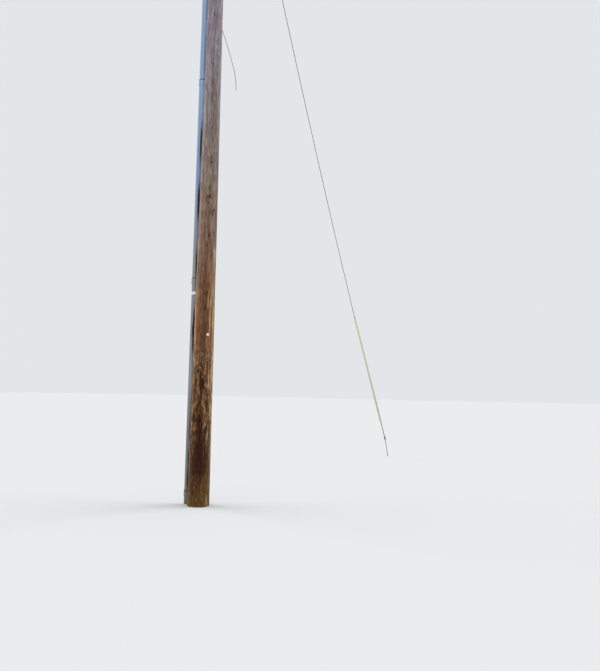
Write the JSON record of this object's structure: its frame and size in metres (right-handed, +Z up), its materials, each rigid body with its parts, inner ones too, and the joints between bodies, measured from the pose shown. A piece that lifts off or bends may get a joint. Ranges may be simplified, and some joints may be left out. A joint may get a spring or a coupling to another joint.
{
  "type": "utility pole",
  "caption": "Wooden utility pole with a grey conduit riser and hood, a down guy with guard and anchor rod, a line clevis and a cut-off drop wire.",
  "frame": {"origin": "centre of the pole's round section at the ground", "axes": "+Z up along the pole, +X level toward the guy's anchor, +Y by the right-hand rule, on the riser's side"},
  "size_m": [8.4224, 0.56, 11.9],
  "materials": {
    "wood": "weathered treated pine, dark brown low down and grey brown above",
    "galvanised": "hot-dip galvanised steel, dull and streaked",
    "strand": "galvanised steel wire, weathered",
    "guard": "sun-faded pale yellow plastic",
    "conduit": "grey PVC, chalked by the sun",
    "cast_aluminium": "cast, dull",
    "insert": "moulded black",
    "porcelain": "brown glaze",
    "wire_jacket": "black jacket, cut off square",
    "tag": "plain white"
  },
  "bodies": {
    "root": {"pole_shaft": "wood", "guy_eye_bolt": "galvanised", "guy_washer": "galvanised", "line_washer": "galvanised", "line_nut": "galvanised", "line_clevis": "galvanised", "clevis_pin": "galvanised", "line_spool": "porcelain", "guy_grip_upper": "strand", "guy_strand": "strand", "guy_grip_lower": "strand", "guy_guard": "guard", "guard_clamp_upper": "galvanised", "guard_clamp_lower": "galvanised", "anchor_rod": "galvanised", "riser_stub": "conduit", "riser_pipe_1": "conduit", "riser_pipe_2": "conduit", "riser_pipe_3": "conduit", "riser_pipe_4": "conduit", "riser_strap_1": "galvanised", "riser_strap_2": "galvanised", "riser_strap_3": "galvanised", "strap_screws": "galvanised", "weatherhead_body": "cast_aluminium", "weatherhead_insert": "insert", "wire_clamp": "galvanised", "drop_wire": "wire_jacket", "pole_tag": "tag", "tag_nail": "galvanised"}
  },
  "joints": []
}
